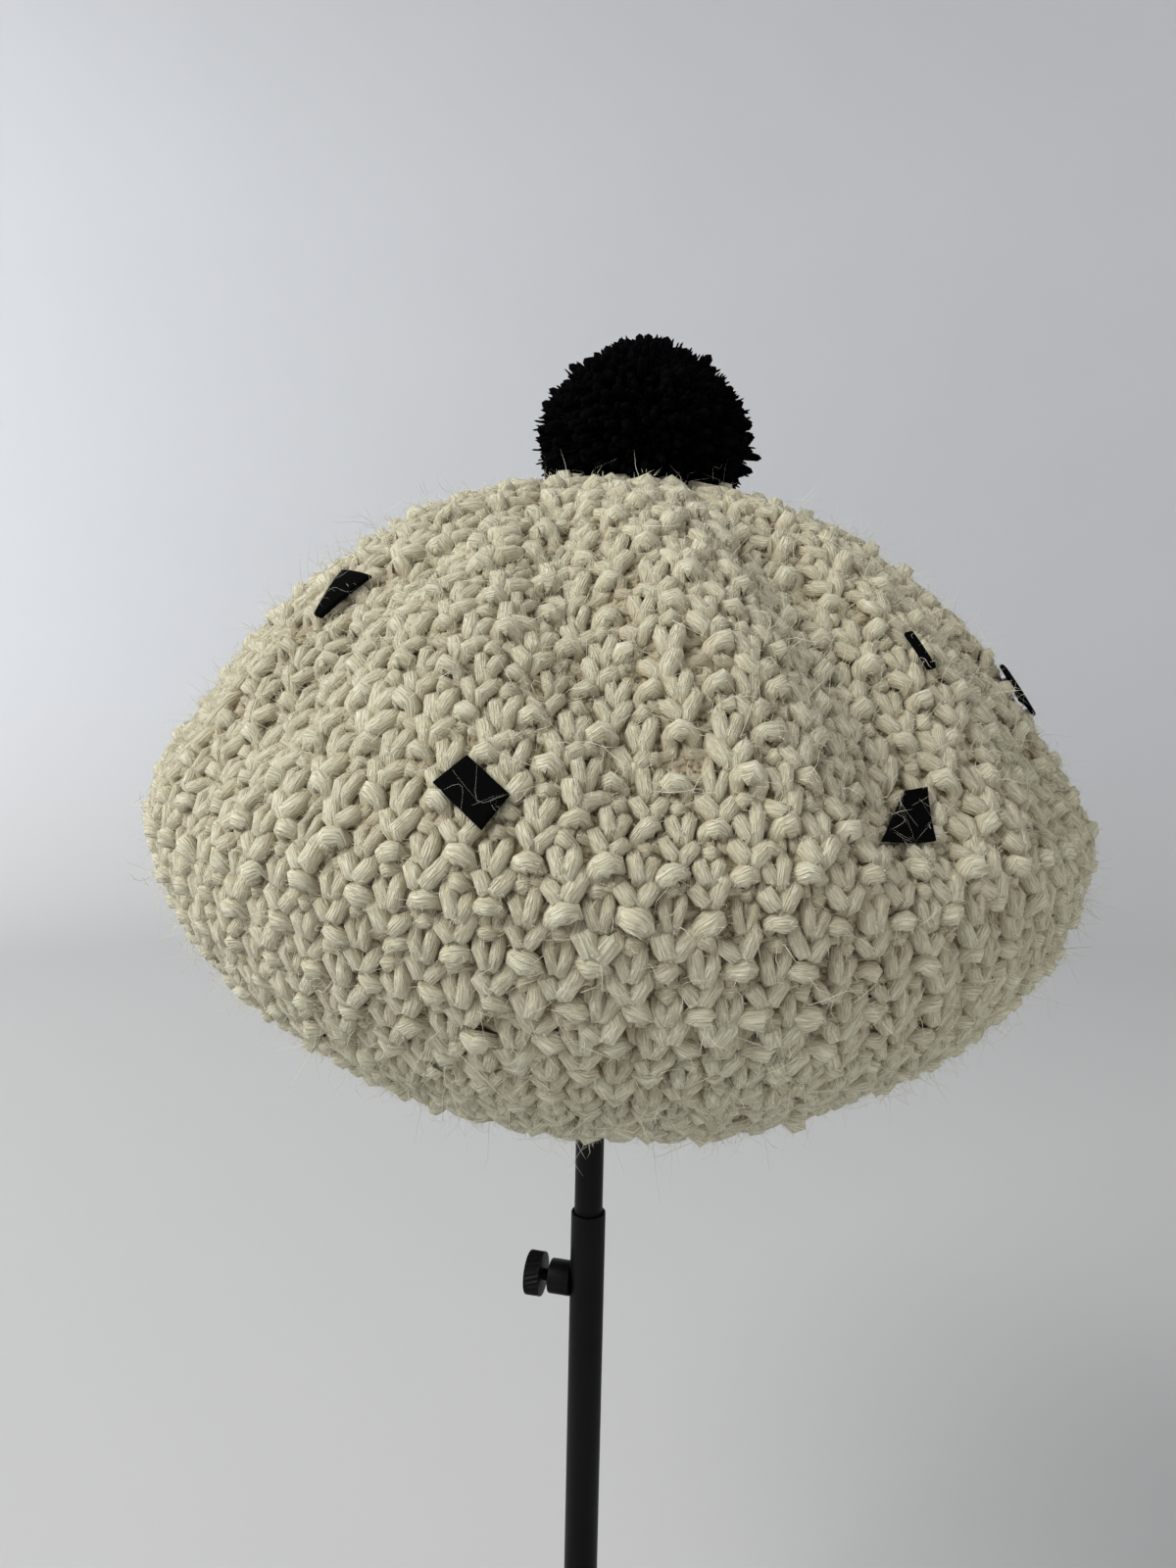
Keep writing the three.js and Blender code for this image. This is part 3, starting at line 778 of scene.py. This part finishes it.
def patch_strays(patch):
    """Roots near a patch's rim and ways across its face, one for every few square millimetres."""
    count = round((patch[2] + patch[3]) / 2 * patch[4] / PATCH_PER_STRAY)
    angle = rng.uniform(0, TAU, count)
    end = angle + rng.normal(1.6, 0.9, count)
    out = rng.uniform(1.0, 1.3, count)
    reach = rng.uniform(0.3, 1.1, count)
    height = PATCH_THICKNESS + PATCH_FLOOR + rng.uniform(0.05, 0.3, count)
    roots = patch_place(patch, np.cos(angle) * out, np.sin(angle) * out, height)
    ends = patch_place(patch, np.cos(end) * reach, np.sin(end) * reach, height + 0.25)
    return roots, ends - roots


def stray_fibres():
    """Roots and ways for the strays of all patches and of the pompom's foot."""
    sets = [patch_strays(patch) for patch in PATCHES.values()]
    azimuth = rng.uniform(0, 360, POMPOM_STRAYS)
    arc = outline_length - rng.uniform(28, 38, POMPOM_STRAYS)
    feet, outward = crown_surface(arc, azimuth, np.full(POMPOM_STRAYS, 0.5))
    ways = unit(outward + 0.9 * any_way(POMPOM_STRAYS)) * rng.uniform(3, 6, (POMPOM_STRAYS, 1))
    sets.append((feet, ways))
    return (np.vstack(part) for part in zip(*sets))


stray_roots, stray_ways = stray_fibres()
stray_lengths = np.linalg.norm(stray_ways, axis=1)
stray_bends, stray_curls = (size * any_way(len(stray_roots)) for size in (0.6, 0.4))
stray_radii = FUZZ_RADIUS * rng.uniform(0.2, 0.4, len(stray_roots))
stray_mesh = spindles(stray_roots, unit(stray_ways), stray_bends, stray_curls, stray_lengths,
                      stray_radii, STRAY_RINGS, FUZZ_SIDES)
add_piece("stray_fibres", *stray_mesh, fuzz_finish, "cream_knit", ["crown"])

# %% [markdown]
# The stand is plain turned metal in satin black: a round foot, a tube with a clamp boss, a rod that
# slides in it, and a knurled thumb screw. Turned work is a profile swung round an axis. Real edges
# are never sharp, so each corner of a profile is rounded by a short curve before it is swung.

# %% Turning
TURNED_SIDES = 96
CORNER_STEPS = 4


def rounded(profile, radius):
    """Each inner corner gives way to a short curve between points one radius along its sides."""
    profile = np.array(profile, float)
    before, corner, after = profile[:-2], profile[1:-1], profile[2:]
    reach = np.minimum(radius, 0.45 * np.minimum(
        np.linalg.norm(before - corner, axis=1), np.linalg.norm(after - corner, axis=1)))[:, None]
    start, end = corner + unit(before - corner) * reach, corner + unit(after - corner) * reach
    t = np.linspace(0, 1, CORNER_STEPS)[None, :, None]
    curve = start[:, None] * (1 - t) ** 2 + corner[:, None] * 2 * t * (1 - t) + end[:, None] * t**2
    return np.vstack([profile[:1], curve.reshape(-1, 2), profile[-1:]])


def swung(profile, sides=TURNED_SIDES):
    """A profile of radius and height swung round Z: the rings, then the two poles on the axis."""
    angle = TAU * np.arange(sides) / sides
    r, z = profile[1:-1, :1], profile[1:-1, 1:]
    rings = np.stack(np.broadcast_arrays(r * np.cos(angle), r * np.sin(angle), z), -1).reshape(-1, 3)
    poles = np.array([(0, 0, profile[0, 1]), (0, 0, profile[-1, 1])])
    return np.vstack([rings, poles]), capped_faces(len(profile) - 2, sides)


def joined(meshes):
    """Several meshes of points and triangles as one."""
    points, faces = zip(*meshes)
    bases = np.cumsum([0] + [len(part) for part in points[:-1]])
    return np.vstack(points), np.vstack([part + base for part, base in zip(faces, bases)])


def satin_black():
    """Satin black paint: an even coat whose gloss drifts a little, with a fine orange-peel skin."""
    paint = Finish("satin_black", {"Specular IOR Level": 0.1})
    drift = paint.noise(paint.object_place(), 60.0)
    peel = paint.noise(paint.object_place(), 1400.0)
    colour = paint.blend(drift, (0.0025, 0.0025, 0.003, 1), (0.005, 0.005, 0.0055, 1))
    parts = {"Base Color": colour, "Roughness": 0.36 + drift * 0.14, "Normal": paint.bump(peel, 0.12, 0.1)}
    paint.feed(paint.shader, parts)
    return paint.material


# %% The foot, tube and rod
FOOT_RADIUS, FOOT_THICKNESS, HUB_RADIUS, HUB_HEIGHT, SOCKET_FLOOR = 80, 6, 12, 16, 4
TUBE_RADIUS, TUBE_BORE, TUBE_TOP = 5.5, 4.8, 213.5
ROD_RADIUS, ROD_BOTTOM, ROD_TOP = 4.5, TUBE_TOP - 90, WIDEST_RING_HEIGHT + 65.7
SEAT_GAP = 0.3
paint_finish = satin_black()
foot_profile = rounded([
    (0, 0), (FOOT_RADIUS, 0), (FOOT_RADIUS, FOOT_THICKNESS), (HUB_RADIUS, FOOT_THICKNESS),
    (HUB_RADIUS, HUB_HEIGHT), (TUBE_RADIUS + SEAT_GAP, HUB_HEIGHT),
    (TUBE_RADIUS + SEAT_GAP, SOCKET_FLOOR), (0, SOCKET_FLOOR)], 1.8)
add_piece("foot", *swung(foot_profile), paint_finish, "black_paint", ["base_plate"])
tube_profile = rounded([
    (0, SOCKET_FLOOR + SEAT_GAP), (TUBE_RADIUS, SOCKET_FLOOR + SEAT_GAP), (TUBE_RADIUS, TUBE_TOP),
    (TUBE_BORE, TUBE_TOP), (TUBE_BORE, ROD_BOTTOM - 1), (0, ROD_BOTTOM - 1)], 0.45)
rod_profile = rounded([(0, ROD_BOTTOM), (ROD_RADIUS, ROD_BOTTOM), (ROD_RADIUS, ROD_TOP), (0, ROD_TOP)], 0.4)
add_piece("rod", *swung(rod_profile), paint_finish, "black_paint", ["inner_rod"])

# %% [markdown]
# The clamp boss stands out of the tube on the left, and the thumb screw runs into it. Both are turned
# about the screw's own axis and then laid along it. The knob's rim is knurled: its radius ripples
# round the rim, and the ripple is slanted a little along the axis.

# %% Boss and thumb screw
SCREW_AZIMUTH, SCREW_HEIGHT, SCREW_RADIUS = math.radians(-104), TUBE_TOP - 23.8, 2.0
BOSS_RADIUS, BOSS_REACH = 5.4, 12.2
KNOB_RADIUS, KNOB_LENGTH, KNOB_GAP, KNOB_RIDGES, KNOB_RIDGE = 6.9, 5.0, 2.4, 26, 0.4
KNOB_SIDES, KNOB_SLANT = KNOB_RIDGES * 8, 0.05
THREAD_PITCH, THREAD_DEPTH = 0.8, 0.12


def along_screw(mesh):
    """A mesh turned about Z laid along the screw's axis, pointing away from the tube."""
    points, faces = mesh
    away = np.array([math.sin(SCREW_AZIMUTH), -math.cos(SCREW_AZIMUTH), 0])
    across = np.array([-away[1], away[0], 0])
    axes = np.array([across, np.cross(away, across), away])
    return points @ axes + np.array([0, 0, SCREW_HEIGHT]), faces


def knurled(mesh, start, end):
    """Presses slanted ridges into the rim between two heights, fading at both ends."""
    points, faces = mesh
    angle = np.arctan2(points[:, 1], points[:, 0])
    z, r = points[:, 2], np.hypot(points[:, 0], points[:, 1])
    ripple = 0.5 + 0.5 * np.cos(KNOB_RIDGES * (angle + KNOB_SLANT * (z - start)))
    rim = ease(z, start, start + 0.5) * (1 - ease(z, end - 0.5, end))
    rim = rim * ease(r, KNOB_RADIUS - 0.6, KNOB_RADIUS)
    pressed = (r - KNOB_RIDGE * ripple * rim) / np.maximum(r, 1e-6)
    return points * np.stack([pressed, pressed, np.ones_like(r)], -1), faces


boss_profile = rounded([(0, 5.0), (BOSS_RADIUS, 5.0), (BOSS_RADIUS, BOSS_REACH), (0, BOSS_REACH)], 0.6)
tube_mesh = joined([swung(tube_profile), along_screw(swung(boss_profile, 64))])
add_piece("tube", *tube_mesh, paint_finish, "black_paint", ["outer_tube"])
knob_start = BOSS_REACH + KNOB_GAP
knob_end = knob_start + KNOB_LENGTH
knob_rim = [(KNOB_RADIUS, z) for z in np.linspace(knob_start, knob_end, 9)]
knob_hollow = [(KNOB_RADIUS - 1.8, knob_end), (KNOB_RADIUS - 2.4, knob_end - 0.5), (0, knob_end - 0.5)]
knob_profile = rounded([(0, knob_start), *knob_rim, *knob_hollow], 0.35)
thread_z = np.arange(BOSS_REACH - 2, knob_start + 0.6, THREAD_PITCH / 4)
thread_r = SCREW_RADIUS - THREAD_DEPTH * (1 + np.cos(TAU * thread_z / THREAD_PITCH))
thread_profile = np.vstack([(0, thread_z[0]), np.stack([thread_r, thread_z], -1), (0, thread_z[-1])])
knob_mesh = knurled(swung(knob_profile, KNOB_SIDES), knob_start, knob_end)
screw_mesh = joined([knob_mesh, swung(thread_profile, 48)])
add_piece("thumb_screw_turned", *along_screw(screw_mesh), paint_finish, "black_screw", ["thumb_screw"])

# %% [markdown]
# Only the pad inside the crown keeps its solid from the model, because it hides under the knitting.
# It is moulded plastic, so it gets a matte black with a fine grain.

# %% The hidden pad
def moulded_black():
    """Matte moulded plastic: fine grain in height and gloss."""
    plastic = Finish("moulded_black", {"Base Color": (0.012, 0.012, 0.013, 1), "Specular IOR Level": 0.4})
    grain = plastic.noise(plastic.object_place(), 1200.0, 4.0)
    plastic.feed(plastic.shader, {"Roughness": 0.5 + grain * 0.2, "Normal": plastic.bump(grain, 0.3, 0.1)})
    return plastic.material


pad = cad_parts["stand_head"]
pad.data.materials.clear()
pad.data.materials.append(moulded_black())
print("the pad keeps its solid,", len(pad.data.polygons), "faces")

# %% [markdown]
# The stage is a pale bowl: a floor that curves up into a wall all round, so that no edge shows from
# any side. Soft light comes from a wide window to the upper left and front, and a pale sky fills the
# shadows. The camera stands where the photographer stood, a little above the beret and close to it,
# tipped down and rolled slightly.

# %% Stage
FLOOR_RADIUS, CURVE_RADIUS, WALL_HEIGHT = 1300.0, 1300.0, 3200.0
STAGE_SIDES = 96


def pale_bowl():
    """A disc, a quarter circle and a wall, swung round Z with the inside facing in."""
    bend = np.linspace(0, np.pi / 2, 24)
    curve = FLOOR_RADIUS + CURVE_RADIUS * np.sin(bend)
    r = np.concatenate([[1.0, FLOOR_RADIUS / 2], curve, curve[-1:]])
    z = np.concatenate([[0.0, 0.0], CURVE_RADIUS * (1 - np.cos(bend)), [WALL_HEIGHT]]) - 0.2
    angle = -TAU * np.arange(STAGE_SIDES) / STAGE_SIDES
    r, z = r[:, None], z[:, None]
    rings = np.stack(np.broadcast_arrays(r * np.cos(angle), r * np.sin(angle), z), -1)
    return rings.reshape(-1, 3), ring_quads(len(r), STAGE_SIDES, joined=False)


def pale_paper():
    """Matte pale paper with a barely visible mottle, a little cooler on the wall than on the floor."""
    paper = Finish("pale_paper", {"Roughness": 0.9, "Specular IOR Level": 0.1})
    mottle = paper.noise(paper.object_place(), 3.0)
    height = paper.node("SeparateXYZ", {}, {0: paper.object_place()}, output="Z")
    wall = paper.blend(mottle, (0.605, 0.62, 0.645, 1), (0.635, 0.65, 0.675, 1))
    paper.feed(paper.shader, {"Base Color": paper.blend(height * 4.0, (0.605, 0.61, 0.615, 1), wall)})
    return paper.material


bowl_points, bowl_faces = pale_bowl()
stage_mesh = bpy.data.meshes.new("stage")
stage_mesh.from_pydata(bowl_points * MM, [], bowl_faces)
stage_mesh.shade_smooth()
stage_mesh.materials.append(pale_paper())
stage = bpy.data.objects.new("stage", stage_mesh)
bpy.context.scene.collection.objects.link(stage)
print("stage:", len(bowl_faces), "quads")

# %% Light and camera
def soft_light(name, place, target, size, power, colour):
    """A square area light at a place, aimed at a target, in metres and watts."""
    light = bpy.data.lights.new(name, "AREA")
    light.size = size
    light.energy = power
    light.color = colour
    lamp = bpy.data.objects.new(name, light)
    bpy.context.scene.collection.objects.link(lamp)
    back = unit(np.array(place) - np.array(target))
    side = unit(np.cross((0, 0, 1), back))
    axes = np.array([side, np.cross(back, side), back]).T
    lamp.matrix_world = Matrix.LocRotScale(place, Matrix(axes.tolist()), None)


BERET_MIDDLE = (0, 0, 0.35)
soft_light("window", (-1.9, -0.75, 2.0), BERET_MIDDLE, 1.8, 74.0, (1.0, 0.985, 0.96))
soft_light("fill", (1.6, -1.0, 0.9), BERET_MIDDLE, 1.4, 6.5, (1.0, 0.95, 0.88))
soft_light("wash", (-1.1, 0.7, 1.1), (-1.8, 2.4, 1.3), 0.8, 12.0, (0.98, 0.99, 1.0))
world = bpy.data.worlds.new("pale_sky")
world.use_nodes = True
sky = world.node_tree.nodes["Background"]
sky.inputs["Color"].default_value = (0.96, 0.97, 0.98, 1)
sky.inputs["Strength"].default_value = 0.175
bpy.context.scene.world = world
bpy.context.scene.view_settings.view_transform = "Standard"

CAMERA_PLACE = (-0.003, -0.3565, 0.3977)
CAMERA_PITCH, CAMERA_ROLL = math.radians(7.4), math.radians(1.2)
PHOTO_HEIGHT, FOCAL_PIXELS, SENSOR = 1600, 1202, 36.0
view = bpy.data.cameras.new("camera")
view.sensor_width = SENSOR
view.lens = SENSOR * FOCAL_PIXELS / PHOTO_HEIGHT
view.clip_start = 0.01
camera = bpy.data.objects.new("camera", view)
bpy.context.scene.collection.objects.link(camera)
turned_down = Matrix.Rotation(np.pi / 2 - CAMERA_PITCH, 3, "X") @ Matrix.Rotation(CAMERA_ROLL, 3, "Z")
camera.matrix_world = Matrix.LocRotScale(CAMERA_PLACE, turned_down, None)
bpy.context.scene.camera = camera
print("lens", round(view.lens, 2), "mm")
